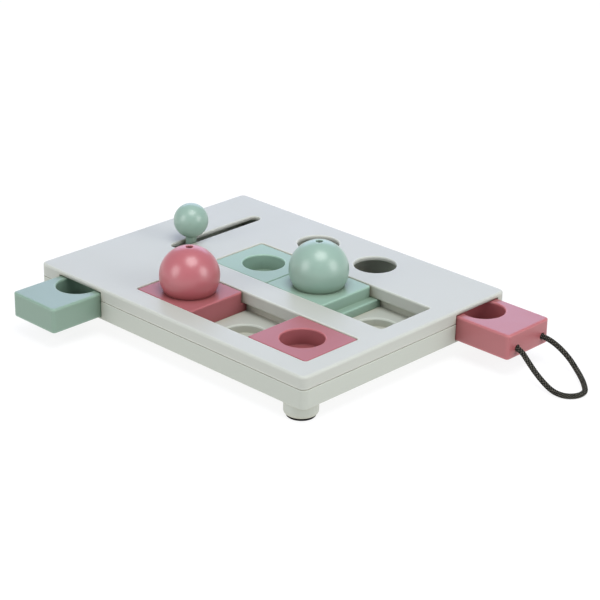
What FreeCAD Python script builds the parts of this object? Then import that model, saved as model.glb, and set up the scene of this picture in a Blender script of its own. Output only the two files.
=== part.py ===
import FreeCAD, Part
import math
import os

# Cat puzzle feeder, in millimetres. X runs along the board, Y across it, Z up.
# The origin is on the standing surface, under the middle of the board.
# The two drawers stand part way out, and both balls cover their blocks.

V = FreeCAD.Vector

# A cutting shape runs this far past a face, a fused one this far into its neighbour
past = 1.0
overlap = 0.5

# Board
board_length = 250.0
board_width = 192.0
corner_radius = 4.5
pad_proud = 1.7
foot_height = 9.0
tray_height = 13.7
lid_height = 8.8

# Walls of the lid and the tray
plate_thickness = 2.8
skirt_thickness = 2.0
tray_wall = 3.0
tray_floor = 1.6
inner_wall = 1.6
wall_top_gap = 0.4
lip_height = 2.0
lip_gap = 0.15
groove_height = 0.5
groove_depth = 0.6
plate_rounding = 1.4
opening_bevel = 0.45
tray_rounding = 0.8

# Tracks: three places for two blocks in each
track_pitch = 52.0
track_places = 3
track_width = 48.0
track_middle_x = 31.6
rose_track_y = -54.75
mint_track_y = 14.0
track_corner = 2.0
track_depth = 14.8
track_floor_thickness = 1.8
rim_depth = 8.4
rim_thickness = 2.0

# Wells, in the tray, the blocks and the drawers
well_radius = 14.5
cup_wall = 1.8
tray_well_depth = 5.9
slider_well_depth = 11.4
drawer_well_depth = 14.0
well_bevel = 0.5
tray_well_bevel = 0.8

# Slider blocks
slider_end_gap = 0.1
slider_side_gap = 0.35
slider_floor_gap = 0.1
slider_drop = 0.4
slider_wall = 2.2
slider_top = 2.4
slider_rounding = 0.9
flange_side_reach = 3.9
flange_end_reach = 5.4
flange_gap = 0.4
flange_corner = 1.2
flange_rounding = 0.8

# Ball covers
ball_radius = 20.2
ball_centre_above_block = 11.0
ball_wall = 2.0
ball_base_rounding = 0.8
spigot_gap = 0.6
spigot_depth = 3.0
spigot_wall = 1.6
scent_hole_radius = 2.5

# Paw holes in the plate, over one closed chamber
paw_hole_radius = 14.7
paw_hole_y = 66.0
paw_hole_xs = (-18.6, 35.2)
chamber_margin = 5.0

# Drawers
drawer_width = 41.8
drawer_length = 67.0
drawer_top_drop = 3.5
drawer_floor_gap = 0.3
drawer_side_gap = 0.5
drawer_wall = 2.2
drawer_front_wall = 2.5
drawer_top = 2.4
drawer_well_setback = 38.0
drawer_corner = 2.4
drawer_rounding = 1.0
drawer_bottom_rounding = 0.7

# Mint drawer: leaves the long front side, driven by the knob
mint_drawer_x = -83.7
mint_drawer_out = 40.0
mint_drawer_more_out = 13.0
mint_drawer_in = 62.0
arm_width = 18.0
arm_height = 7.0
arm_wall = 2.0
arm_end_gap = 1.0
knob_setback = 141.0
knob_boss_radius = 7.5
knob_boss_height = 14.0
knob_socket_depth = 6.0

# Lever slot and knob
slot_width = 9.1
slot_end_gap = 0.2
knob_radius = 12.1
knob_centre_above_plate = 15.3
stem_radius = 3.8
stem_neck_rounding = 1.6
fit_gap = 0.05

# Rose drawer: leaves the right end, pulled by the cord
rose_drawer_y = 67.0
rose_drawer_out = 43.0
rose_drawer_more_out = 10.0
lug_reach = 1.9
lug_height = 9.0
stop_gap = 0.2

# Pull cord and its knots
cord_diameter = 3.4
cord_hole_gap = 0.5
cord_hole_height = 18.7
cord_hole_near = -11.2
cord_hole_far = 14.4
knot_radius = 4.1
knot_length = 7.6
knot_waist_radius = 2.95
knot_end_radius = 2.4

# Feet and pads
foot_inset_x = 13.2
foot_inset_y = 11.8
foot_radius = 11.1
foot_bottom_radius = 9.6
foot_taper_height = 2.2
foot_core_radius = 6.5
foot_core_height = 7.0
pad_radius = 9.3
pad_chamfer = 0.3
pad_plug_gap = 0.1
pad_plug_height = 3.0

# Case screws, driven from below into bosses of the lid
between_tracks = (rose_track_y + mint_track_y) / 2
screw_places = ((-114.4, -62.0), (-114.4, 62.0), (-49.0, 66.0),
                (60.0, -89.3), (-20.0, between_tracks), (100.0, between_tracks))
screw_radius = 1.45
screw_length = 12.0
screw_head_radius = 2.9
screw_head_height = 2.2
screw_crown = 0.7
screw_recess_depth = 3.0
tray_boss_radius = 4.2
tray_boss_height = 6.3
lid_boss_radius = 3.2
screw_hole_gap = 0.3
screw_tip_gap = 1.0

# Levels that follow from the sizes above
tray_bottom = pad_proud + foot_height
tray_inside = tray_bottom + tray_floor
parting = tray_bottom + tray_height
plate_top = parting + lid_height
plate_under = plate_top - plate_thickness
rim_bottom = plate_top - rim_depth
track_floor = plate_top - track_depth
wall_top = plate_under - wall_top_gap
drawer_high = plate_top - drawer_top_drop
drawer_low = tray_inside + drawer_floor_gap
slider_high = plate_top - slider_drop
slider_low = track_floor + slider_floor_gap
flange_high = rim_bottom - flange_gap

half_length = board_length / 2
half_width = board_width / 2
track_length = track_places * track_pitch
slider_length = track_pitch - 2 * slider_end_gap
channel_side = track_width / 2 + flange_side_reach + flange_gap
channel_end = track_length / 2 + flange_end_reach + flange_gap

mint_front_y = -half_width - mint_drawer_out
knob_y = mint_front_y + knob_setback
rose_front_x = half_length + rose_drawer_out


def block(low, high):
    """A plain block between two opposite corners."""
    return Part.makeBox(high[0] - low[0], high[1] - low[1], high[2] - low[2], V(*low))


def edges_in(shape, low, high):
    """The edges that lie wholly between two corners."""
    found = []
    for edge in shape.Edges:
        box = edge.BoundBox
        inside_x = box.XMin > low[0] and box.XMax < high[0]
        inside_y = box.YMin > low[1] and box.YMax < high[1]
        inside_z = box.ZMin > low[2] and box.ZMax < high[2]
        if inside_x and inside_y and inside_z:
            found.append(edge)
    return found


def edges_at(shape, level, centre=(0.0, 0.0), reach=1000.0, margin=0.01):
    """The edges that lie flat at one height, within a reach of a centre in plan."""
    low = (centre[0] - reach - margin, centre[1] - reach - margin, level - margin)
    high = (centre[0] + reach + margin, centre[1] + reach + margin, level + margin)
    return edges_in(shape, low, high)


def upright_edges(shape):
    """The edges that stand upright."""
    return [edge for edge in shape.Edges
            if edge.BoundBox.ZLength > edge.BoundBox.XLength + edge.BoundBox.YLength]


def rounded_block(low, high, radius):
    """A block whose upright edges are rounded."""
    plain = block(low, high)
    return plain.makeFillet(radius, upright_edges(plain))


def board_block(inset, bottom, top):
    """The board's outline drawn in by an inset, between two levels."""
    low = (-half_length + inset, -half_width + inset, bottom)
    high = (half_length - inset, half_width - inset, top)
    return rounded_block(low, high, corner_radius - inset)


def centred_block(centre, half_x, half_y, bottom, top):
    """A block round a centre in plan, between two levels."""
    low = (centre[0] - half_x, centre[1] - half_y, bottom)
    high = (centre[0] + half_x, centre[1] + half_y, top)
    return block(low, high)


def pillar(centre, radius, bottom, top):
    """An upright cylinder between two levels."""
    return Part.makeCylinder(radius, top - bottom, V(centre[0], centre[1], bottom))


def fuse_all(shapes):
    """One solid from several that touch."""
    first = shapes[0]
    return first.fuse(shapes[1:]).removeSplitter() if len(shapes) > 1 else first


def revolved(points_and_arcs, centre):
    """A solid turned about an upright axis.

    Each item is a point (radius, height), or a pair of points for an arc: the one that it
    passes and the one that it ends at.
    """
    edges = []
    here = points_and_arcs[0]
    for item in points_and_arcs[1:] + [points_and_arcs[0]]:
        start = V(here[0], 0, here[1])
        if isinstance(item[0], tuple):
            by, end = item
            edges.append(Part.Arc(start, V(by[0], 0, by[1]), V(end[0], 0, end[1])).toShape())
            here = end
        else:
            edges.append(Part.LineSegment(start, V(item[0], 0, item[1])).toShape())
            here = item
    face = Part.Face(Part.Wire(edges))
    solid = face.revolve(V(0, 0, 0), V(0, 0, 1), 360)
    solid.translate(V(centre[0], centre[1], 0))
    return solid


def arc_point(centre, radius, angle):
    """A point of a circle in the profile plane, its angle in degrees from level."""
    turn = math.radians(angle)
    return (centre[0] + radius * math.cos(turn), centre[1] + radius * math.sin(turn))


def place_x(number):
    """The middle of a track's first, second or third place."""
    return track_middle_x + (number - (track_places - 1) / 2) * track_pitch


def tracks():
    """The middles of the two tracks."""
    return ((track_middle_x, rose_track_y), (track_middle_x, mint_track_y))


def lever_slot():
    """The slot in the plate, as long as the knob's travel needs."""
    near_y = knob_y - mint_drawer_more_out - slot_end_gap - stem_radius + slot_width / 2
    far_y = knob_y + mint_drawer_in + slot_end_gap + stem_radius - slot_width / 2
    ends = [pillar((mint_drawer_x, y), slot_width / 2, rim_bottom, plate_top + past)
            for y in (near_y, far_y)]
    middle = block((mint_drawer_x - slot_width / 2, near_y, rim_bottom),
                   (mint_drawer_x + slot_width / 2, far_y, plate_top + past))
    return fuse_all([middle] + ends)


def drawer_mouths():
    """The two openings in the walls that the drawers pass through."""
    reach = drawer_width / 2 + drawer_side_gap
    deep = tray_wall + past
    mint = block((mint_drawer_x - reach, -half_width - past, tray_inside),
                 (mint_drawer_x + reach, -half_width + deep, plate_under))
    rose = block((half_length - deep, rose_drawer_y - reach, tray_inside),
                 (half_length + past, rose_drawer_y + reach, plate_under))
    return [mint, rose]


def top_plate():
    """The lid: plate, skirt, rims round the tracks, screw bosses."""
    lid = board_block(0, parting, plate_top)
    lid = lid.makeFillet(plate_rounding, edges_at(lid, plate_top))
    lid = lid.cut(board_block(skirt_thickness, parting - past, plate_under))
    rims = []
    openings = []
    for centre in tracks():
        low = (centre[0] - track_length / 2, centre[1] - track_width / 2)
        high = (centre[0] + track_length / 2, centre[1] + track_width / 2)
        rims.append(rounded_block(
            (low[0] - rim_thickness, low[1] - rim_thickness, rim_bottom),
            (high[0] + rim_thickness, high[1] + rim_thickness, plate_under + overlap),
            track_corner + rim_thickness))
        openings.append(rounded_block((low[0], low[1], rim_bottom - past),
                                      (high[0], high[1], plate_top + past), track_corner))
    boss_foot = tray_bottom + tray_boss_height
    for place in screw_places:
        rims.append(pillar(place, lid_boss_radius, boss_foot, plate_under + overlap))
        hole_end = tray_bottom + screw_recess_depth + screw_length + screw_tip_gap
        openings.append(pillar(place, screw_radius + fit_gap, boss_foot - past, hole_end))
    lid = fuse_all([lid] + rims)
    openings += [pillar((x, paw_hole_y), paw_hole_radius, plate_under - past, plate_top + past)
                 for x in paw_hole_xs]
    openings.append(lever_slot())
    lid = lid.cut(openings + drawer_mouths())
    inset = plate_rounding + past
    low = (-half_length + inset, -half_width + inset, plate_top - overlap)
    high = (half_length - inset, half_width - inset, plate_top + overlap)
    return lid.makeChamfer(opening_bevel, edges_in(lid, low, high))


def cavities():
    """The hollows of the tray: two slider channels, two drawer tunnels, the paw chamber."""
    hollows = []
    for centre in tracks():
        hollows.append(centred_block(centre, channel_end, channel_side,
                                     track_floor, wall_top + past))
    reach = drawer_width / 2 + drawer_side_gap
    arm_end = knob_y + mint_drawer_in + arm_width / 2 + arm_end_gap
    hollows.append(block((mint_drawer_x - reach, -half_width + tray_wall - overlap, tray_inside),
                         (mint_drawer_x + reach, arm_end, wall_top + past)))
    lug_side = reach + lug_reach
    tunnel_end = half_length - drawer_length - stop_gap
    hollows.append(block((tunnel_end, rose_drawer_y - lug_side, tray_inside),
                         (half_length - tray_wall, rose_drawer_y + lug_side, wall_top + past)))
    chamber_low = min(paw_hole_xs) - paw_hole_radius - chamber_margin
    hollows.append(block((chamber_low, rose_drawer_y - lug_side, tray_inside),
                         (tunnel_end - inner_wall, rose_drawer_y + lug_side, wall_top + past)))
    return hollows


def foot(centre):
    """A moulded foot: straight, drawn in at its foot by an arc, cored from below."""
    inward = foot_radius - foot_bottom_radius
    sweep_radius = (inward ** 2 + foot_taper_height ** 2) / (2 * inward)
    sweep_centre = (foot_radius - sweep_radius, pad_proud + foot_taper_height)
    sweep = math.degrees(math.asin(foot_taper_height / sweep_radius))
    core_top = pad_proud + foot_core_height
    profile = [
        (0.0, tray_inside),
        (foot_radius, tray_inside),
        (foot_radius, pad_proud + foot_taper_height),
        (arc_point(sweep_centre, sweep_radius, -sweep / 2), (foot_bottom_radius, pad_proud)),
        (foot_core_radius, pad_proud),
        (foot_core_radius, core_top),
        (0.0, core_top),
    ]
    return revolved(profile, centre)


def foot_centres():
    """Where the four feet stand, named by the side that they are on."""
    x = half_length - foot_inset_x
    y = half_width - foot_inset_y
    return {"front_left": (-x, -y), "front_right": (x, -y),
            "rear_left": (-x, y), "rear_right": (x, y)}


def base_tray():
    """The tray: walls, lip, feet, track floors with wells, channel and tunnel walls."""
    shell = board_block(0, tray_bottom, parting)
    shell = shell.makeFillet(tray_rounding, edges_at(shell, tray_bottom))
    lip = board_block(skirt_thickness + lip_gap, parting - past, parting + lip_height)
    shell = shell.fuse(lip)
    shell = shell.cut(board_block(tray_wall, tray_inside, parting + lip_height + past))
    groove = board_block(-past, parting - groove_height, parting)
    groove = groove.cut(board_block(groove_depth, parting - groove_height, parting))
    shell = shell.cut(groove)

    hollows = cavities()
    room = board_block(tray_wall, tray_inside - overlap, wall_top)
    walls = []
    for hollow in hollows:
        box = hollow.BoundBox
        low = (box.XMin - inner_wall, box.YMin - inner_wall, tray_inside - overlap)
        high = (box.XMax + inner_wall, box.YMax + inner_wall, wall_top)
        walls.append(block(low, high).common(room))
    boss_top = tray_bottom + tray_boss_height
    bosses = [pillar(place, tray_boss_radius, tray_inside - overlap, boss_top)
              for place in screw_places]
    above = board_block(-past, tray_bottom + overlap, tray_inside + past)
    feet = [foot(centre).cut(above) for centre in foot_centres().values()]
    tray = fuse_all([shell] + walls + bosses + feet)
    tray = tray.cut(hollows + drawer_mouths())

    under = []
    wells = []
    for centre in tracks():
        recess = centred_block(centre, channel_end, channel_side,
                               tray_bottom - past, track_floor - track_floor_thickness)
        places = [(place_x(number), centre[1]) for number in range(track_places)]
        well_floor = track_floor - tray_well_depth
        cups = [pillar(place, well_radius + cup_wall, well_floor - cup_wall, track_floor)
                for place in places]
        under.append(recess.cut(cups))
        wells += [pillar(place, well_radius, well_floor, track_floor + past) for place in places]
    footing = [pillar(centre, foot_radius, tray_bottom - past, track_floor)
               for centre in foot_centres().values()]
    under = [recess.cut(footing) for recess in under]
    tray = tray.cut(under + wells)
    for place in screw_places:
        head_seat = tray_bottom + screw_recess_depth
        tray = tray.cut(pillar(place, screw_head_radius + screw_hole_gap,
                               tray_bottom - past, head_seat))
        tray = tray.cut(pillar(place, screw_radius + screw_hole_gap,
                               head_seat, boss_top + past))
    rims = []
    for centre in tracks():
        for number in range(track_places):
            place = (place_x(number), centre[1])
            rims += edges_at(tray, track_floor, place, well_radius)
    return tray.makeChamfer(tray_well_bevel, rims)


def foot_pad(centre):
    """A round rubber pad under the foot, held by a plug in the foot's core."""
    disc = pillar(centre, pad_radius, 0, pad_proud)
    disc = disc.makeChamfer(pad_chamfer, edges_at(disc, 0))
    plug_radius = foot_core_radius - pad_plug_gap
    return disc.fuse(pillar(centre, plug_radius, overlap, pad_proud + pad_plug_height))


def case_screws():
    """The self-tapping screws, heads down, each a solid of its own."""
    screws = []
    seat = tray_bottom + screw_recess_depth
    for place in screw_places:
        screws.append(pan_screw(place, seat, screw_length))
    return Part.makeCompound(screws)


def pan_screw(place, seat, length):
    """A pan-head screw that points up."""
    low = seat - screw_head_height
    profile = [
        (0.0, low),
        (screw_head_radius - screw_crown, low),
        (screw_head_radius, low + screw_crown),
        (screw_head_radius, seat),
        (screw_radius, seat),
        (screw_radius, seat + length),
        (0.0, seat + length),
    ]
    return revolved(profile, place)


def slider(place, end):
    """A slider block with its flanges; end is 1 or -1, the side of the end flange."""
    half = slider_length / 2
    side = track_width / 2 - slider_side_gap
    top = rounded_block((-half, -side, slider_low), (half, side, slider_high), track_corner)
    top = top.makeFillet(slider_rounding, edges_at(top, slider_high))
    flange_side = track_width / 2 + flange_side_reach
    flange = rounded_block((-half, -flange_side, slider_low),
                           (half + flange_end_reach, flange_side, flange_high), flange_corner)
    flange = flange.makeFillet(flange_rounding, edges_at(flange, flange_high))
    solid = fuse_all([top, flange])
    hollow = block((-half + slider_wall, -side + slider_wall, slider_low - past),
                   (half - slider_wall, side - slider_wall, slider_high - slider_top))
    well_floor = slider_high - slider_well_depth
    cup = pillar((0, 0), well_radius + cup_wall, well_floor - cup_wall, slider_high)
    solid = solid.cut(hollow.cut(cup))
    solid = solid.cut(pillar((0, 0), well_radius, well_floor, slider_high + past))
    solid = solid.makeChamfer(well_bevel, edges_at(solid, slider_high, (0, 0), well_radius))
    if end < 0:
        solid.rotate(V(0, 0, 0), V(0, 0, 1), 180)
    solid.translate(V(place[0], place[1], 0))
    return solid


def ball_cover(place):
    """A hollow ball cut flat where it stands, with a spigot below and a scent hole on top."""
    base = slider_high
    middle = (0.0, base + ball_centre_above_block)
    inner_radius = ball_radius - ball_wall
    spigot = well_radius - spigot_gap
    bore = spigot - spigot_wall

    outer_hole = math.degrees(math.acos(scent_hole_radius / ball_radius))
    inner_hole = math.degrees(math.acos(scent_hole_radius / inner_radius))
    drop = ball_centre_above_block
    low_angle = -math.degrees(math.asin((drop - ball_base_rounding) / ball_radius))
    floor_angle = -math.degrees(math.asin((drop - ball_wall) / inner_radius))
    rounding_top = arc_point(middle, ball_radius, low_angle)
    profile = [
        arc_point(middle, ball_radius, outer_hole),
        (arc_point(middle, ball_radius, (outer_hole + low_angle) / 2), rounding_top),
        (rounding_top[0] - ball_base_rounding, base),
        (spigot, base),
        (spigot, base - spigot_depth),
        (bore, base - spigot_depth),
        (bore, base + ball_wall),
        arc_point(middle, inner_radius, floor_angle),
        (arc_point(middle, inner_radius, (floor_angle + inner_hole) / 2),
         arc_point(middle, inner_radius, inner_hole)),
    ]
    return revolved(profile, place)


def drawer_box():
    """A drawer pointing along +X, its front face at zero: a hollow box with one cup."""
    half = drawer_width / 2
    box = block((-drawer_length, -half, drawer_low), (0, half, drawer_high))
    box = box.makeFillet(drawer_corner, upright_edges(box))
    box = box.makeFillet(drawer_rounding, edges_at(box, drawer_high))
    box = box.makeFillet(drawer_bottom_rounding, edges_at(box, drawer_low))
    centre = (-drawer_well_setback, 0)
    hollow = block((-drawer_length + drawer_wall, -half + drawer_wall, drawer_low - past),
                   (-drawer_front_wall, half - drawer_wall, drawer_high - drawer_top))
    cup = pillar(centre, well_radius + cup_wall, drawer_low - past, drawer_high)
    rib = block((-drawer_length, -drawer_wall / 2, drawer_low),
                (-drawer_well_setback, drawer_wall / 2, drawer_high))
    box = box.cut(hollow.cut([cup, rib]))
    well_floor = drawer_high - drawer_well_depth
    box = box.cut(pillar(centre, well_radius, well_floor, drawer_high + past))
    return box.makeChamfer(well_bevel, edges_at(box, drawer_high, centre, well_radius))


def mint_drawer():
    """The lever drawer: the box, and an arm back to the boss that holds the knob."""
    box = drawer_box()
    boss_x = -knob_setback
    arm_high = drawer_low + arm_height
    arm = block((boss_x, -arm_width / 2, drawer_low),
                (-drawer_length + drawer_wall / 2, arm_width / 2, arm_high))
    arm_hollow = block((boss_x, -arm_width / 2 + arm_wall, drawer_low - past),
                       (-drawer_length - arm_wall, arm_width / 2 - arm_wall, arm_high - arm_wall))
    boss_high = drawer_low + knob_boss_height
    boss = pillar((boss_x, 0), knob_boss_radius, drawer_low, boss_high)
    end = pillar((boss_x, 0), arm_width / 2, drawer_low, arm_high)
    arm = arm.cut(arm_hollow)
    drawer = fuse_all([box, arm, end, boss])
    socket_floor = boss_high - knob_socket_depth
    drawer = drawer.cut(pillar((boss_x, 0), stem_radius + fit_gap,
                               socket_floor, boss_high + past))
    drawer = drawer.cut(pillar((boss_x, 0), screw_radius + screw_hole_gap,
                               drawer_low, socket_floor + past))
    drawer = drawer.cut(pillar((boss_x, 0), screw_head_radius + screw_hole_gap,
                               drawer_low - past, drawer_low + screw_recess_depth))
    drawer.rotate(V(0, 0, 0), V(0, 0, 1), -90)
    drawer.translate(V(mint_drawer_x, mint_front_y, 0))
    return drawer


def lever_knob():
    """A ball on a stem that stands in the drawer's socket, drilled for its screw."""
    middle = plate_top + knob_centre_above_plate
    foot_level = drawer_low + knob_boss_height - knob_socket_depth
    neck = stem_radius + stem_neck_rounding
    neck_angle = math.degrees(math.acos(neck / knob_radius))
    ball_start = arc_point((0, middle), knob_radius, -neck_angle)
    stem_top = ball_start[1] - stem_neck_rounding
    corner = stem_neck_rounding * (1 - math.sqrt(0.5))
    hole = screw_radius + fit_gap
    hole_top = drawer_low + screw_recess_depth + screw_length + screw_tip_gap
    profile = [
        (hole, foot_level),
        (stem_radius, foot_level),
        (stem_radius, stem_top),
        ((stem_radius + corner, ball_start[1] - corner), ball_start),
        (arc_point((0, middle), knob_radius, (90 - neck_angle) / 2), (0.0, middle + knob_radius)),
        (0.0, hole_top),
        (hole, hole_top),
    ]
    return revolved(profile, (mint_drawer_x, knob_y))


def rose_drawer():
    """The cord drawer: the box, stop lugs at its inner end, two holes for the cord."""
    box = drawer_box()
    half = drawer_width / 2
    lug_front = drawer_length + half_length - rose_front_x - tray_wall
    lug_end = -rose_drawer_out - tray_wall - rose_drawer_more_out - stop_gap
    lugs = []
    for side in (-1, 1):
        inner = side * (half - drawer_wall / 2)
        outer = side * (half + lug_reach)
        lugs.append(block((-drawer_length, min(inner, outer), drawer_low + drawer_corner),
                          (lug_end, max(inner, outer), drawer_low + drawer_corner + lug_height)))
    drawer = fuse_all([box] + lugs)
    radius = cord_diameter / 2 + cord_hole_gap
    for y in (cord_hole_near, cord_hole_far):
        hole = Part.makeCylinder(radius, drawer_front_wall + 2 * past,
                                 V(-drawer_front_wall - past, y, cord_hole_height), V(1, 0, 0))
        drawer = drawer.cut(hole)
    drawer.translate(V(rose_front_x, rose_drawer_y, 0))
    return drawer


# The cord's route from knot to knot: out of the near hole, down to the surface that the
# board stands on, round and back up into the far hole.
cord_points = [
    (165.2, 55.8, 18.7),
    (171.1, 55.6, 18.1),
    (177.7, 54.3, 13.5),
    (185.9, 52.4, 8.5),
    (194.8, 50.5, 4.6),
    (203.4, 48.5, 2.5),
    (211.7, 49.4, 1.8),
    (217.4, 55.4, 1.8),
    (217.5, 63.7, 1.8),
    (212.0, 70.3, 1.8),
    (204.7, 76.9, 2.6),
    (195.9, 82.2, 4.9),
    (187.2, 85.4, 8.9),
    (178.8, 84.8, 14.2),
    (171.3, 82.0, 18.5),
    (165.2, 81.4, 18.7),
]


def cord_path(points):
    """Straight runs joined by arcs as large as each pair of runs allows."""
    share = 0.45
    corners = [V(*point) for point in points]
    edges = []
    radii = []
    here = corners[0]
    for before, corner, after in zip(corners, corners[1:], corners[2:]):
        back = (before - corner)
        ahead = (after - corner)
        cut_back = share * min(back.Length, ahead.Length)
        back.normalize()
        ahead.normalize()
        half_turn = (math.pi - back.getAngle(ahead)) / 2
        radius = cut_back / math.tan(half_turn)
        start = corner + back * cut_back
        end = corner + ahead * cut_back
        towards = back + ahead
        towards.normalize()
        middle = corner + towards * (radius / math.cos(half_turn) - radius)
        edges.append(Part.LineSegment(here, start).toShape())
        edges.append(Part.Arc(start, middle, end).toShape())
        radii.append(radius)
        here = end
    edges.append(Part.LineSegment(here, corners[-1]).toShape())
    return Part.Wire(edges), radii


def pull_cord():
    """The cord as a plain round tube along its route."""
    path, radii = cord_path(cord_points)
    start = V(*cord_points[0])
    heading = V(*cord_points[1]) - start
    section = Part.Wire(Part.makeCircle(cord_diameter / 2, start, heading))
    cord = path.makePipeShell([section], True, False)
    expected = math.pi * (cord_diameter / 2) ** 2 * path.Length
    print("cord length %.1f mm, arc radii %s" % (path.Length, [round(r, 1) for r in radii]))
    print("cord volume %.1f, section times length %.1f" % (cord.Volume, expected))
    print("cord lowest point %.2f mm" % cord.BoundBox.ZMin)
    return cord


def cord_knot(end_point, next_point):
    """A pulled-tight knot behind the drawer's front, where the cord ends."""
    quarter = knot_length / 4
    profile = [
        (0.0, 0.0),
        (knot_end_radius, 0.0),
        ((knot_radius, quarter), (knot_waist_radius, 2 * quarter)),
        ((knot_radius, 3 * quarter), (knot_end_radius, knot_length)),
        (0.0, knot_length),
    ]
    knot = revolved(profile, (0, 0))
    heading = V(*end_point) - V(*next_point)
    knot.Placement = FreeCAD.Placement(V(*end_point), FreeCAD.Rotation(V(0, 0, 1), heading))
    return knot


def build():
    """All pieces by the name of their node."""
    rose_left = (place_x(0), rose_track_y)
    rose_right = (place_x(2), rose_track_y)
    mint_left = (place_x(0), mint_track_y)
    mint_right = (place_x(1), mint_track_y)
    pieces = {
        "top_plate": top_plate(),
        "base_tray": base_tray(),
        "case_screws": case_screws(),
        "rose_slider_left": slider(rose_left, -1),
        "rose_slider_right": slider(rose_right, 1),
        "mint_slider_left": slider(mint_left, -1),
        "mint_slider_right": slider(mint_right, 1),
        "rose_ball_cover": ball_cover(rose_left),
        "mint_ball_cover": ball_cover(mint_right),
        "mint_drawer": mint_drawer(),
        "lever_knob": lever_knob(),
        "knob_screw": pan_screw((mint_drawer_x, knob_y), drawer_low + screw_recess_depth,
                                screw_length),
        "rose_drawer": rose_drawer(),
        "pull_cord": pull_cord(),
        "cord_knot_near": cord_knot(cord_points[0], cord_points[1]),
        "cord_knot_far": cord_knot(cord_points[-1], cord_points[-2]),
    }
    for side, centre in foot_centres().items():
        pieces["foot_pad_" + side] = foot_pad(centre)
    return pieces


os.makedirs("parts", exist_ok=True)
for name, shape in build().items():
    box = shape.BoundBox
    print("%-20s solids %d valid %s  x %.1f..%.1f  y %.1f..%.1f  z %.1f..%.1f" % (
        name, len(shape.Solids), shape.isValid(),
        box.XMin, box.XMax, box.YMin, box.YMax, box.ZMin, box.ZMax))
    shape.exportStep("parts/" + name + ".step")
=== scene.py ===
import bpy
import bmesh
import math
from mathutils import Matrix, Vector


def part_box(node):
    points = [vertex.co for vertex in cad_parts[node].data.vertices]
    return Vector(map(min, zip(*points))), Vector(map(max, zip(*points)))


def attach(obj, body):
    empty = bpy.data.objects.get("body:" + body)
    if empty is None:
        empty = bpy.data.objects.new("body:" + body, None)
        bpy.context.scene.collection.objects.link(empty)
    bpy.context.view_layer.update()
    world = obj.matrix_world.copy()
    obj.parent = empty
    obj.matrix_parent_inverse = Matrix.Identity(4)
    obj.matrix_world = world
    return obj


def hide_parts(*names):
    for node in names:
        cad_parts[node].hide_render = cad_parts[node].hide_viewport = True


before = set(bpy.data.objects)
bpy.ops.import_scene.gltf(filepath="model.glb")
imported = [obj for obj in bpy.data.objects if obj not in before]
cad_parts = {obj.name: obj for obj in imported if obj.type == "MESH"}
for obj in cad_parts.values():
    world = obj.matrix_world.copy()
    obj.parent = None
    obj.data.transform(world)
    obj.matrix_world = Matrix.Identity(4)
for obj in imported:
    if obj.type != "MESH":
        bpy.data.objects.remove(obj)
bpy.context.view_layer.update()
scene = bpy.context.scene
scene.view_settings.view_transform = "Standard"


# Camera
# It stands to the right of the board's front and looks down on it, a long way off, so the
# board's edges nearly run parallel. The board's middle is left of the picture's.

camera_place = Vector((0.8484, -0.8503, 0.5427))
camera_azimuth = math.radians(43.97)
camera_elevation = math.radians(23.68)
camera_roll = math.radians(0.93)
sensor_width = 36.0
focal_length = 116.41
farthest_seen = 20.0


def new_object(name, data):
    """A new object of some data, such as a mesh or a lamp, in the scene."""
    item = bpy.data.objects.new(name, data)
    scene.collection.objects.link(item)
    return item


back = Vector((math.sin(camera_azimuth) * math.cos(camera_elevation),
               -math.cos(camera_azimuth) * math.cos(camera_elevation),
               math.sin(camera_elevation)))
level_right = Vector((math.cos(camera_azimuth), math.sin(camera_azimuth), 0.0))
level_up = back.cross(level_right)
camera_right = level_right * math.cos(camera_roll) + level_up * math.sin(camera_roll)
camera_up = level_up * math.cos(camera_roll) - level_right * math.sin(camera_roll)
camera_turn = Matrix((camera_right, camera_up, back)).transposed().to_4x4()

camera_data = bpy.data.cameras.new("camera")
camera_data.sensor_width = sensor_width
camera_data.lens = focal_length
camera_data.clip_end = farthest_seen
camera = new_object("camera", camera_data)
camera.matrix_world = Matrix.Translation(camera_place) @ camera_turn
scene.camera = camera


# Pull cord
# A limp round cord of black polyester, braided from sixteen strands. Both ends pass through
# the rose drawer's front and are knotted behind it; the loop lies on the floor.

crown_diameter = 0.0038
strands_each_way = 8
strand_arch = 0.45
cord_lay_length = 0.0140
cord_relief = 0.00050
cord_sides = 48
braid_step = 0.00022
cord_points = [
    (0.1652, 0.0558, 0.0187),
    (0.1711, 0.0556, 0.0181),
    (0.1777, 0.0543, 0.0135),
    (0.1859, 0.0524, 0.0085),
    (0.1948, 0.0505, 0.0046),
    (0.2034, 0.0485, 0.0025),
    (0.2117, 0.0494, 0.0019),
    (0.2174, 0.0554, 0.0019),
    (0.2175, 0.0637, 0.0019),
    (0.2120, 0.0703, 0.0019),
    (0.2047, 0.0769, 0.0026),
    (0.1959, 0.0822, 0.0049),
    (0.1872, 0.0854, 0.0089),
    (0.1788, 0.0848, 0.0142),
    (0.1713, 0.0820, 0.0185),
    (0.1652, 0.0814, 0.0187),
]


def spline_line(name, points):
    """The points of a smooth line through the air, led by a few control points."""
    curve = bpy.data.curves.new(name, "CURVE")
    curve.dimensions = "3D"
    curve.resolution_u = 24
    spline = curve.splines.new("NURBS")
    spline.points.add(len(points) - 1)
    for point, place in zip(spline.points, points):
        point.co = (*place, 1.0)
    spline.order_u = 3
    spline.use_endpoint_u = True
    holder = new_object(name, curve)
    bpy.context.view_layer.update()
    mesh = bpy.data.meshes.new_from_object(holder)
    line = [vertex.co.copy() for vertex in mesh.vertices]
    bpy.data.objects.remove(holder)
    bpy.data.curves.remove(curve)
    bpy.data.meshes.remove(mesh)
    return line


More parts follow.
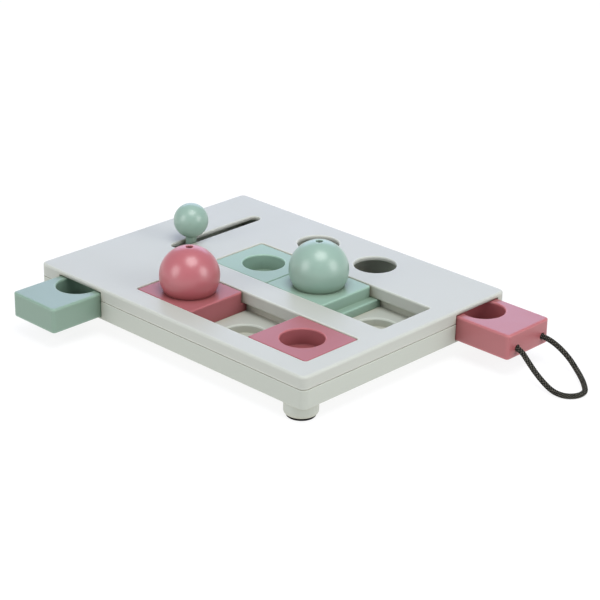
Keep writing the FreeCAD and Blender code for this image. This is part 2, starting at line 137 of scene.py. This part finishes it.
def evenly(line, step):
    """The same line with its points a fixed step apart, and its length."""
    gaps = [(b - a).length for a, b in zip(line, line[1:])]
    length = sum(gaps)
    count = max(2, round(length / step))
    result = []
    index = 0
    passed = 0.0
    for number in range(count + 1):
        wanted = length * number / count
        while index < len(gaps) - 1 and passed + gaps[index] < wanted:
            passed += gaps[index]
            index += 1
        share = (wanted - passed) / gaps[index] if gaps[index] else 0.0
        result.append(line[index].lerp(line[index + 1], min(1.0, max(0.0, share))))
    return result, length


def strand_rise(way_round, lays_along):
    """How far the upper strand stands out at a place on the braid, from 0 to 1."""
    first = strands_each_way * (way_round + lays_along)
    second = strands_each_way * (way_round - lays_along)
    first_is_over = (math.floor(first) + math.floor(second)) % 2 == 0
    on_top = first if first_is_over else second
    beneath = second if first_is_over else first
    across_strand = 2.0 * (on_top - math.floor(on_top)) - 1.0
    along_strand = 2.0 * (beneath - math.floor(beneath)) - 1.0
    crown = math.sqrt(max(0.0, 1.0 - across_strand * across_strand))
    return crown * (1.0 - strand_arch + strand_arch * math.cos(0.5 * math.pi * along_strand))


def skin(shape, ring, following, smooth):
    """The faces between two rings of equal length."""
    for corner in range(len(ring)):
        beside = (corner + 1) % len(ring)
        face = shape.faces.new((ring[corner], ring[beside], following[beside], following[corner]))
        face.smooth = smooth


def braided_tube(name, line, diameter, lay_length, relief, sides):
    """A tube along a line, raised where one strand of the braid lies over another."""
    points, length = evenly(line, braid_step)
    shape = bmesh.new()
    height_layer = shape.verts.layers.float.new("strand")
    ahead = (points[1] - points[0]).normalized()
    side = ahead.orthogonal().normalized()
    rings = []
    for number, point in enumerate(points):
        after = points[min(number + 1, len(points) - 1)]
        before = points[max(number - 1, 0)]
        ahead = (after - before).normalized()
        side = (side - ahead * side.dot(ahead)).normalized()
        across = ahead.cross(side)
        along = length * number / (len(points) - 1)
        ring = []
        for corner in range(sides):
            angle = 2.0 * math.pi * corner / sides
            rise = strand_rise(corner / sides, along / lay_length)
            reach = diameter / 2.0 - relief * (1.0 - rise)
            outward = side * math.cos(angle) + across * math.sin(angle)
            vertex = shape.verts.new(point + outward * reach)
            vertex[height_layer] = rise
            ring.append(vertex)
        rings.append(ring)
    for ring, following in zip(rings, rings[1:]):
        skin(shape, ring, following, smooth=True)
    shape.faces.new(list(reversed(rings[0])))
    shape.faces.new(rings[-1])
    shape.normal_update()
    mesh = bpy.data.meshes.new(name)
    shape.to_mesh(mesh)
    shape.free()
    return new_object(name, mesh), [tuple(point) for point in points], length


def new_material(name):
    """A new node material, with its node tree and its Principled shader."""
    material = bpy.data.materials.new(name)
    material.use_nodes = True
    tree = material.node_tree
    shader = tree.nodes["Principled BSDF"]
    return material, tree, shader


def math_node(tree, operation):
    """A new math node set to one operation."""
    node = tree.nodes.new("ShaderNodeMath")
    node.operation = operation
    return node


def bump_from(tree, shader, height, strength, depth):
    """A bump node that lets a height tilt the shader's normal."""
    bump = tree.nodes.new("ShaderNodeBump")
    bump.inputs["Strength"].default_value = strength
    bump.inputs["Distance"].default_value = depth
    tree.links.new(height, bump.inputs["Height"])
    tree.links.new(bump.outputs["Normal"], shader.inputs["Normal"])
    return bump


def cord_material():
    """Matt black yarn with fine filaments.

    Each strand's crown, where it crosses over, is painted pale as a painted sheen.
    """
    gap_colour = (0.003, 0.003, 0.003, 1.0)
    crown_sheen_colour = (0.36, 0.345, 0.28, 1.0)
    crown_sharpness = 5.0
    material, tree, shader = new_material("black_braid")
    strand = tree.nodes.new("ShaderNodeAttribute")
    strand.attribute_name = "strand"
    place = tree.nodes.new("ShaderNodeTexCoord")
    fibres = tree.nodes.new("ShaderNodeTexNoise")
    fibres.inputs["Scale"].default_value = 2600.0
    fibres.inputs["Detail"].default_value = 3.0
    tree.links.new(place.outputs["Object"], fibres.inputs["Vector"])
    crown = math_node(tree, "POWER")
    crown.inputs[1].default_value = crown_sharpness
    tree.links.new(strand.outputs["Fac"], crown.inputs[0])
    fibrous_crown = math_node(tree, "MULTIPLY")
    tree.links.new(crown.outputs["Value"], fibrous_crown.inputs[0])
    tree.links.new(fibres.outputs["Fac"], fibrous_crown.inputs[1])
    # Painted sheen: the ramp paints the raised crowns of the strands pale.
    ramp = tree.nodes.new("ShaderNodeValToRGB")
    ramp.color_ramp.elements[0].position = 0.14
    ramp.color_ramp.elements[0].color = gap_colour
    ramp.color_ramp.elements[1].position = 0.50
    ramp.color_ramp.elements[1].color = crown_sheen_colour
    tree.links.new(fibrous_crown.outputs["Value"], ramp.inputs["Fac"])
    tree.links.new(ramp.outputs["Color"], shader.inputs["Base Color"])
    bump_from(tree, shader, fibres.outputs["Fac"], strength=0.5, depth=0.0001)
    shader.inputs["Roughness"].default_value = 0.75
    shader.inputs["Specular IOR Level"].default_value = 0.05
    return material


black_braid = cord_material()

knot_cord_diameter = 0.0026
knot_lay_length = 0.0107
knot_relief = 0.00034
knot_sides = 40
knot_points = [
    (0.0004, 0.0000, 0.0000),
    (-0.0012, 0.0000, -0.0009),
    (-0.0032, -0.0001, -0.0008),
    (-0.0048, 0.0000, 0.0011),
    (-0.0066, 0.0003, 0.0012),
    (-0.0086, 0.0014, 0.0003),
    (-0.0082, 0.0039, -0.0012),
    (-0.0059, 0.0044, -0.0014),
    (-0.0034, 0.0036, 0.0000),
    (-0.0018, 0.0016, 0.0016),
    (-0.0020, -0.0016, 0.0016),
    (-0.0034, -0.0034, 0.0002),
    (-0.0050, -0.0022, -0.0014),
    (-0.0050, 0.0002, -0.0015),
    (-0.0052, 0.0022, 0.0002),
    (-0.0056, 0.0040, 0.0016),
    (-0.0062, 0.0060, 0.0010),
    (-0.0066, 0.0070, 0.0004),
]


def overhand_knot(name, end, side):
    """An overhand knot pulled tight at a cord's end; its tail points to one side.

    knot_points are measured from that end, for a tail that points along +Y.
    """
    route = [(end[0] + x, end[1] + side * y, end[2] + side * z) for x, y, z in knot_points]
    knot, _, _ = braided_tube(name, spline_line(name + "_line", route), knot_cord_diameter,
                              knot_lay_length, knot_relief, knot_sides)
    knot.data.materials.append(black_braid)
    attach(knot, "rose_drawer")
    return knot


cord_line = spline_line("cord_line", cord_points)
pull_cord, cord_path, cord_length = braided_tube(
    "braided_cord", cord_line, crown_diameter, cord_lay_length, cord_relief, cord_sides)
pull_cord.data.materials.append(black_braid)
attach(pull_cord, "rose_drawer")
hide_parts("pull_cord")
near_knot = overhand_knot("near_knot", cord_points[0], side=1.0)
far_knot = overhand_knot("far_knot", cord_points[-1], side=-1.0)
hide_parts("cord_knot_near")
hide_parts("cord_knot_far")


# Tray and lid
# Two shells of moulded polypropylene in nearly the same light grey, the lid held to the
# tray by screws from below. Their faces have the fine even grain of a spark-eroded mould.

plate_grey = (0.450, 0.462, 0.412)
tray_grey = (0.450, 0.470, 0.412)
shell_grain = 1400.0


def add_sockets(group, in_out, kind, *names):
    """Gives a node group named inputs or outputs of one kind."""
    for name in names:
        group.interface.new_socket(name=name, in_out=in_out, socket_type="NodeSocket" + kind)


def moulded_plastic_group():
    """Moulded plastic: slow drifts of tone and gloss and a fine grain.

    Edges get a painted highlight and gaps a painted shade.
    """
    group = bpy.data.node_groups.new("moulded_plastic", "ShaderNodeTree")
    add_sockets(group, "INPUT", "Vector", "Position")
    add_sockets(group, "INPUT", "Color", "Colour", "Painted Gap Shade")
    add_sockets(group, "INPUT", "Float", "Drift", "Painted Edge Highlight", "Edge Width", "Roughness",
                "Grain Scale")
    add_sockets(group, "OUTPUT", "Color", "Colour")
    add_sockets(group, "OUTPUT", "Float", "Roughness", "Height")
    add_sockets(group, "OUTPUT", "Vector", "Normal")
    taken = group.nodes.new("NodeGroupInput")
    given = group.nodes.new("NodeGroupOutput")
    link = group.links.new

    slow = group.nodes.new("ShaderNodeTexNoise")
    slow.inputs["Scale"].default_value = 9.0
    slow.inputs["Detail"].default_value = 4.0
    link(taken.outputs["Position"], slow.inputs["Vector"])
    tone = group.nodes.new("ShaderNodeMapRange")
    tone.inputs["To Min"].default_value = -1.0
    tone.inputs["To Max"].default_value = 1.0
    link(slow.outputs["Fac"], tone.inputs["Value"])
    drift = math_node(group, "MULTIPLY_ADD")
    drift.inputs[2].default_value = 1.0
    link(tone.outputs["Result"], drift.inputs[0])
    link(taken.outputs["Drift"], drift.inputs[1])

    # Painted highlight: edges, found where the bevelled normal leaves the surface's own and not
    # hidden by ambient occlusion, are made lighter.
    rounded = group.nodes.new("ShaderNodeBevel")
    rounded.samples = 6
    link(taken.outputs["Edge Width"], rounded.inputs["Radius"])
    link(rounded.outputs["Normal"], given.inputs["Normal"])
    surface = group.nodes.new("ShaderNodeNewGeometry")
    likeness = group.nodes.new("ShaderNodeVectorMath")
    likeness.operation = "DOT_PRODUCT"
    link(rounded.outputs["Normal"], likeness.inputs[0])
    link(surface.outputs["Normal"], likeness.inputs[1])
    edge = group.nodes.new("ShaderNodeMapRange")
    edge.inputs["From Min"].default_value = 0.998
    edge.inputs["From Max"].default_value = 0.96
    link(likeness.outputs["Value"], edge.inputs["Value"])
    openness = group.nodes.new("ShaderNodeAmbientOcclusion")
    openness.samples = 8
    openness.inputs["Distance"].default_value = 0.007
    outer_edge = math_node(group, "MULTIPLY")
    link(edge.outputs["Result"], outer_edge.inputs[0])
    link(openness.outputs["AO"], outer_edge.inputs[1])
    highlit_value = math_node(group, "MULTIPLY_ADD")
    link(outer_edge.outputs["Value"], highlit_value.inputs[0])
    link(taken.outputs["Painted Edge Highlight"], highlit_value.inputs[1])
    link(drift.outputs["Value"], highlit_value.inputs[2])
    drifted_highlit_colour = group.nodes.new("ShaderNodeHueSaturation")
    link(taken.outputs["Colour"], drifted_highlit_colour.inputs["Color"])
    link(highlit_value.outputs["Value"], drifted_highlit_colour.inputs["Value"])

    # Painted shade: where ambient occlusion finds surfaces nearby, in gaps, wells and corners,
    # the colour is multiplied towards the painted gap shade.
    gap_shade_mix = group.nodes.new("ShaderNodeMix")
    gap_shade_mix.data_type = "RGBA"
    gap_shade_mix.inputs["B"].default_value = (1.0, 1.0, 1.0, 1.0)
    link(openness.outputs["AO"], gap_shade_mix.inputs["Factor"])
    link(taken.outputs["Painted Gap Shade"], gap_shade_mix.inputs["A"])
    shaded = group.nodes.new("ShaderNodeMix")
    shaded.data_type = "RGBA"
    shaded.blend_type = "MULTIPLY"
    shaded.inputs["Factor"].default_value = 1.0
    link(drifted_highlit_colour.outputs["Color"], shaded.inputs["A"])
    link(gap_shade_mix.outputs["Result"], shaded.inputs["B"])
    link(shaded.outputs["Result"], given.inputs["Colour"])

    grain = group.nodes.new("ShaderNodeTexNoise")
    grain.inputs["Detail"].default_value = 6.0
    grain.inputs["Roughness"].default_value = 0.65
    link(taken.outputs["Position"], grain.inputs["Vector"])
    link(taken.outputs["Grain Scale"], grain.inputs["Scale"])
    link(grain.outputs["Fac"], given.inputs["Height"])

    smears = group.nodes.new("ShaderNodeTexNoise")
    smears.inputs["Scale"].default_value = 45.0
    smears.inputs["Detail"].default_value = 5.0
    link(taken.outputs["Position"], smears.inputs["Vector"])
    spread = group.nodes.new("ShaderNodeMapRange")
    spread.inputs["From Min"].default_value = 0.3
    spread.inputs["From Max"].default_value = 0.7
    spread.inputs["To Min"].default_value = -0.02
    spread.inputs["To Max"].default_value = 0.02
    link(smears.outputs["Fac"], spread.inputs["Value"])
    dull = math_node(group, "ADD")
    link(taken.outputs["Roughness"], dull.inputs[0])
    link(spread.outputs["Result"], dull.inputs[1])
    link(dull.outputs["Value"], given.inputs["Roughness"])
    return group


moulded_plastic = moulded_plastic_group()


def plastic(name, colour, roughness, gloss, grain_scale=1500.0, grain_depth=0.00003, drift=0.02,
            edge_width=0.0012, painted_edge_highlight=0.55, painted_gap_shade=(0.66, 0.60, 0.52)):
    """A material of moulded plastic in one colour, with a painted edge highlight and painted gap
    shade.
    """
    material, tree, shader = new_material(name)
    place = tree.nodes.new("ShaderNodeTexCoord")
    look = tree.nodes.new("ShaderNodeGroup")
    look.node_tree = moulded_plastic
    look.inputs["Colour"].default_value = (*colour, 1.0)
    look.inputs["Painted Gap Shade"].default_value = (*painted_gap_shade, 1.0)
    look.inputs["Drift"].default_value = drift
    look.inputs["Painted Edge Highlight"].default_value = painted_edge_highlight
    look.inputs["Edge Width"].default_value = edge_width
    look.inputs["Roughness"].default_value = roughness
    look.inputs["Grain Scale"].default_value = grain_scale
    tree.links.new(place.outputs["Object"], look.inputs["Position"])
    tree.links.new(look.outputs["Colour"], shader.inputs["Base Color"])
    tree.links.new(look.outputs["Roughness"], shader.inputs["Roughness"])
    bump = bump_from(tree, shader, look.outputs["Height"], strength=0.35, depth=grain_depth)
    tree.links.new(look.outputs["Normal"], bump.inputs["Normal"])
    shader.inputs["IOR"].default_value = 1.49
    shader.inputs["Specular IOR Level"].default_value = gloss
    return material


def dress(name, material):
    """Gives a CAD node its material."""
    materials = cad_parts[name].data.materials
    materials.clear()
    materials.append(material)


# The lid's gaps and parting line get a warm painted shade, and both shells' edges get a painted
# highlight.
lid_plastic = plastic("lid_grey", plate_grey, roughness=0.38, gloss=0.3, grain_scale=shell_grain,
                      edge_width=0.002, painted_edge_highlight=0.4, painted_gap_shade=(0.92, 0.80, 0.64))
tray_plastic = plastic("tray_grey", tray_grey, roughness=0.48, gloss=0.3, grain_scale=shell_grain,
                       painted_edge_highlight=0.3, painted_gap_shade=(1.0, 0.93, 0.82))
dress("top_plate", lid_plastic)
dress("base_tray", tray_plastic)


# Foot pads
# Round pads of black rubber that stand a little proud of the feet. A plug on each pad is
# pressed into the foot's core.

pad_black = (0.012, 0.012, 0.012)
# The pads' edges carry a painted highlight, and their gaps a painted shade.
pad_rubber = plastic("pad_rubber", pad_black, roughness=0.8, gloss=0.08, grain_scale=900.0,
                     grain_depth=0.00006, drift=0.10, painted_edge_highlight=0.8)
for corner in ("front_left", "front_right", "rear_left", "rear_right"):
    dress("foot_pad_" + corner, pad_rubber)


# Sliding blocks and ball covers
# Blocks that slide along the tracks, and hollow balls that lift off two of them, moulded in
# dusty rose and mint plastic. The blocks are satin; the balls are smoother and show soft
# highlights.

block_rose = (0.335, 0.105, 0.112)
block_mint = (0.262, 0.385, 0.308)
ball_rose = (0.41, 0.113, 0.126)
ball_mint = (0.262, 0.385, 0.314)
ball_grain_depth = 0.00001
# All four materials have a painted highlight on their edges and painted shade in their wells,
# gaps and corners.
rose_satin = plastic("rose_satin", block_rose, roughness=0.34, gloss=0.22)
mint_satin = plastic("mint_satin", block_mint, roughness=0.34, gloss=0.22)
rose_smooth = plastic("rose_smooth", ball_rose, roughness=0.30, gloss=0.8,
                      grain_depth=ball_grain_depth)
mint_smooth = plastic("mint_smooth", ball_mint, roughness=0.30, gloss=0.75,
                      grain_depth=ball_grain_depth)
for side in ("left", "right"):
    dress("rose_slider_" + side, rose_satin)
    dress("mint_slider_" + side, mint_satin)
dress("rose_ball_cover", rose_smooth)
dress("mint_ball_cover", mint_smooth)


# Drawers and lever knob
# Two drawers with one well each, moulded in deeper rose and mint plastic. The mint one is
# pushed by a ball knob on a stem that is screwed to its arm, the rose one is pulled by the
# cord.

deep_rose = (0.35, 0.102, 0.108)
deep_mint = (0.178, 0.268, 0.204)
# The drawers' wider edge mask spreads the painted highlight across their rounded edges.
drawer_edge_width = 0.0022
dress("mint_drawer", plastic("mint_drawer", deep_mint, roughness=0.32, gloss=0.7,
                            edge_width=drawer_edge_width))
dress("rose_drawer", plastic("rose_drawer", deep_rose, roughness=0.32, gloss=0.7,
                            edge_width=drawer_edge_width))
dress("lever_knob", mint_smooth)


# Screws
# Zinc-plated self-tapping screws with pan heads and a cross recess. Six are driven from
# below through the tray into the lid's bosses, one through the drawer's arm into the stem.

screw_places = [(-0.1144, -0.0620), (-0.1144, 0.0620), (-0.0490, 0.0660),
                (0.0600, -0.0893), (-0.0200, -0.020375), (0.1000, -0.020375)]
thread_radius = 0.00145
thread_core = 0.00108
thread_pitch = 0.0012
thread_sharpness = 1.8
rings_per_pitch = 8
screw_length = 0.0120
screw_tip_length = 0.0018
screw_tip_share = 0.25
head_radius = 0.0029
head_height = 0.0022
head_flat_radius = 0.0020
head_dome_share = 0.6
head_dome_rings = 6
cross_arm_length = 0.00165
cross_arm_width = 0.00038
cross_depth = 0.0013
cross_taper = 0.45
screw_sides = 24
zinc_grey = (0.55, 0.56, 0.57)


def ring_of(shape, radius, height):
    """A ring of points round the screw's axis."""
    ring = []
    for corner in range(screw_sides):
        angle = 2.0 * math.pi * corner / screw_sides
        place = (radius * math.cos(angle), radius * math.sin(angle), height)
        ring.append(shape.verts.new(place))
    return ring


def thread_ring(shape, height):
    """A ring of points on the thread, whose ridge climbs by one pitch in a turn."""
    to_tip = min(1.0, (screw_length - height) / screw_tip_length)
    started = min(1.0, height / thread_pitch)
    ring = []
    for corner in range(screw_sides):
        turn = corner / screw_sides
        phase = (height / thread_pitch - turn) % 1.0
        crest = max(0.0, 1.0 - abs(2.0 * phase - 1.0) * thread_sharpness)
        reach = thread_core + (thread_radius - thread_core) * crest * started
        reach *= screw_tip_share + (1.0 - screw_tip_share) * to_tip
        angle = 2.0 * math.pi * turn
        ring.append(shape.verts.new((reach * math.cos(angle), reach * math.sin(angle), height)))
    return ring


def cross_ring(shape, size, height):
    """The twelve corners of a cross recess."""
    arm = cross_arm_length * size
    half = cross_arm_width * size
    ring = []
    for quarter in range(4):
        for x, y in ((arm, -half), (arm, half), (half, half)):
            for _ in range(quarter):
                x, y = -y, x
            ring.append(shape.verts.new((x, y, height)))
    return ring


def close_between(shape, *rings):
    """Flat faces inside the outer ring and outside the inner one, where there is one."""
    edges = []
    for ring in rings:
        for here, there in zip(ring, ring[1:] + ring[:1]):
            edges.append(shape.edges.get((here, there)) or shape.edges.new((here, there)))
    bmesh.ops.triangle_fill(shape, use_beauty=True, edges=edges)


def pan_screw_mesh():
    """One screw that points up, its head's seat at the origin."""
    shape = bmesh.new()
    recess_floor = cross_ring(shape, cross_taper, -head_height + cross_depth)
    recess_mouth = cross_ring(shape, 1.0, -head_height)
    close_between(shape, recess_floor)
    skin(shape, recess_floor, recess_mouth, smooth=False)
    flat = ring_of(shape, head_flat_radius, -head_height)
    close_between(shape, flat, recess_mouth)
    last = flat
    for step in range(1, head_dome_rings + 1):
        angle = 0.5 * math.pi * step / head_dome_rings
        radius = head_flat_radius + (head_radius - head_flat_radius) * math.sin(angle)
        height = -head_height + head_dome_share * head_height * (1.0 - math.cos(angle))
        ring = ring_of(shape, radius, height)
        skin(shape, last, ring, smooth=True)
        last = ring
    seat = ring_of(shape, head_radius, 0.0)
    skin(shape, last, seat, smooth=False)
    last = ring_of(shape, thread_core, 0.0)
    skin(shape, seat, last, smooth=False)
    steps = round(screw_length / thread_pitch * rings_per_pitch)
    for step in range(1, steps + 1):
        ring = thread_ring(shape, screw_length * step / steps)
        skin(shape, last, ring, smooth=True)
        last = ring
    close_between(shape, last)
    bmesh.ops.recalc_face_normals(shape, faces=shape.faces)
    mesh = bpy.data.meshes.new("pan_screw")
    shape.to_mesh(mesh)
    shape.free()
    return mesh


def zinc_plate():
    """Bright zinc: a soft metal gloss with a faint drift of tone and a fine grain.

    Like every plastic() material it also has a painted edge highlight and painted shade in its
    recess.
    """
    material = plastic("zinc_plate", zinc_grey, roughness=0.32, gloss=0.5, grain_scale=700.0,
                       grain_depth=0.00002, drift=0.08, edge_width=0.0002)
    material.node_tree.nodes["Principled BSDF"].inputs["Metallic"].default_value = 1.0
    return material


def screws_on_points_tree():
    """Puts a screw on every point of a mesh, each left at a turn of its own by the driver."""
    tree = bpy.data.node_groups.new("screws_on_points", "GeometryNodeTree")
    add_sockets(tree, "INPUT", "Geometry", "Points")
    add_sockets(tree, "INPUT", "Object", "Screw")
    add_sockets(tree, "INPUT", "Float", "Largest Turn")
    add_sockets(tree, "INPUT", "Int", "Seed")
    add_sockets(tree, "INPUT", "Material", "Plating")
    add_sockets(tree, "OUTPUT", "Geometry", "Screws")
    taken = tree.nodes.new("NodeGroupInput")
    given = tree.nodes.new("NodeGroupOutput")
    link = tree.links.new
    pattern = tree.nodes.new("GeometryNodeObjectInfo")
    link(taken.outputs["Screw"], pattern.inputs["Object"])
    turn = tree.nodes.new("FunctionNodeRandomValue")
    turn.data_type = "FLOAT"
    link(taken.outputs["Largest Turn"], turn.inputs["Max"])
    link(taken.outputs["Seed"], turn.inputs["Seed"])
    about_axis = tree.nodes.new("ShaderNodeCombineXYZ")
    link(turn.outputs["Value"], about_axis.inputs["Z"])
    placed = tree.nodes.new("GeometryNodeInstanceOnPoints")
    link(taken.outputs["Points"], placed.inputs["Points"])
    link(pattern.outputs["Geometry"], placed.inputs["Instance"])
    link(about_axis.outputs["Vector"], placed.inputs["Rotation"])
    realised = tree.nodes.new("GeometryNodeRealizeInstances")
    link(placed.outputs["Instances"], realised.inputs["Geometry"])
    plated = tree.nodes.new("GeometryNodeSetMaterial")
    link(realised.outputs["Geometry"], plated.inputs["Geometry"])
    link(taken.outputs["Plating"], plated.inputs["Material"])
    link(plated.outputs["Geometry"], given.inputs["Screws"])
    return tree


def set_screws(name, places, inputs):
    """Screws at some places, as one plain mesh made by the tree with these inputs."""
    points = bpy.data.meshes.new(name + "_points")
    points.from_pydata(places, [], [])
    holder = new_object(name + "_points", points)
    modifier = holder.modifiers.new("screws", "NODES")
    modifier.node_group = screw_tree
    for socket in screw_tree.interface.items_tree:
        if socket.name in inputs:
            modifier[socket.identifier] = inputs[socket.name]
    bpy.context.view_layer.update()
    ready = holder.evaluated_get(bpy.context.evaluated_depsgraph_get())
    mesh = bpy.data.meshes.new_from_object(ready)
    bpy.data.objects.remove(holder)
    return new_object(name, mesh)


screw_tree = screws_on_points_tree()
screw_pattern = new_object("pan_screw", pan_screw_mesh())
screw_inputs = {"Screw": screw_pattern, "Largest Turn": 0.5 * math.pi, "Plating": zinc_plate()}

case_low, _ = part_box("case_screws")
case_points = [(x, y, case_low[2] + head_height) for x, y in screw_places]
tray_screws = set_screws("tray_screws", case_points, {**screw_inputs, "Seed": 7})
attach(tray_screws, "board")
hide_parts("case_screws")

knob_low, knob_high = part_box("knob_screw")
knob_point = ((knob_low[0] + knob_high[0]) / 2.0, (knob_low[1] + knob_high[1]) / 2.0,
              knob_low[2] + head_height)
arm_screw = set_screws("arm_screw", [knob_point], {**screw_inputs, "Seed": 3})
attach(arm_screw, "mint_drawer")
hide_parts("knob_screw")
bpy.data.objects.remove(screw_pattern)


# Floor and light
# A white floor that glows as a light table does, so that the board's shadow stays faint. A
# round soft box hangs over the board, an oval one stands on each side and a bluish one behind.

floor_half_width = 4.0
floor_grey = (0.16, 0.16, 0.16)
floor_glow = 0.85
zenith_light = (0.43, 0.455, 0.53)
horizon_light = (0.85, 0.87, 0.90)
horizon_narrowness = 6.0
box_distance = 1.6
pale_blue = (0.62, 0.68, 1.0)

floor_mesh = bpy.data.meshes.new("floor")
floor_mesh.from_pydata([(-floor_half_width, -floor_half_width, 0.0),
                        (floor_half_width, -floor_half_width, 0.0),
                        (floor_half_width, floor_half_width, 0.0),
                        (-floor_half_width, floor_half_width, 0.0)],
                       [], [(0, 1, 2, 3)])
floor = new_object("floor", floor_mesh)
floor_material, _, floor_shader = new_material("pale_floor")
floor_shader.inputs["Base Color"].default_value = (*floor_grey, 1.0)
floor_shader.inputs["Roughness"].default_value = 0.9
floor_shader.inputs["Specular IOR Level"].default_value = 0.1
floor_shader.inputs["Emission Color"].default_value = (1.0, 1.0, 1.0, 1.0)
floor_shader.inputs["Emission Strength"].default_value = floor_glow
floor_mesh.materials.append(floor_material)


def studio_room():
    """The light of the room itself: pale at the horizon, dimmer overhead."""
    world = bpy.data.worlds.new("studio")
    world.use_nodes = True
    sky = world.node_tree
    direction = sky.nodes.new("ShaderNodeTexCoord")
    direction_parts = sky.nodes.new("ShaderNodeSeparateXYZ")
    sky.links.new(direction.outputs["Generated"], direction_parts.inputs["Vector"])
    lowness = math_node(sky, "SUBTRACT")
    lowness.use_clamp = True
    lowness.inputs[0].default_value = 1.0
    sky.links.new(direction_parts.outputs["Z"], lowness.inputs[1])
    band = math_node(sky, "POWER")
    band.inputs[1].default_value = horizon_narrowness
    sky.links.new(lowness.outputs["Value"], band.inputs[0])
    walls = sky.nodes.new("ShaderNodeMix")
    walls.data_type = "RGBA"
    walls.inputs["A"].default_value = (*zenith_light, 1.0)
    walls.inputs["B"].default_value = (*horizon_light, 1.0)
    sky.links.new(band.outputs["Value"], walls.inputs["Factor"])
    sky.links.new(walls.outputs["Result"], sky.nodes["Background"].inputs["Color"])
    return world


def soft_box(name, direction, width, height, radiance, colour=(1.0, 1.0, 1.0)):
    """A soft box that looks at the board's middle from a direction seen by the camera."""
    right, up, towards = direction
    heading = (camera_right * right + camera_up * up + back * towards).normalized()
    data = bpy.data.lights.new(name, "AREA")
    data.shape = "ELLIPSE"
    data.size = width
    data.size_y = height
    area = math.pi / 4.0 * width * height
    data.energy = radiance * math.pi * area
    data.color = colour
    light = new_object(name, data)
    light.matrix_world = (Matrix.Translation(heading * box_distance)
                          @ heading.to_track_quat("Z", "Y").to_matrix().to_4x4())


scene.world = studio_room()
soft_box("overhead", (0.12, 0.78, 0.62), width=1.1, height=1.1, radiance=5.1)
soft_box("left_box", (-0.77, 0.22, 0.60), width=0.85, height=1.05, radiance=3.6)
soft_box("right_box", (0.81, 0.20, 0.55), width=0.85, height=1.05, radiance=4.1)
soft_box("back_box", (0.0, 0.74, -0.67), width=1.58, height=1.0, radiance=1.9, colour=pale_blue)
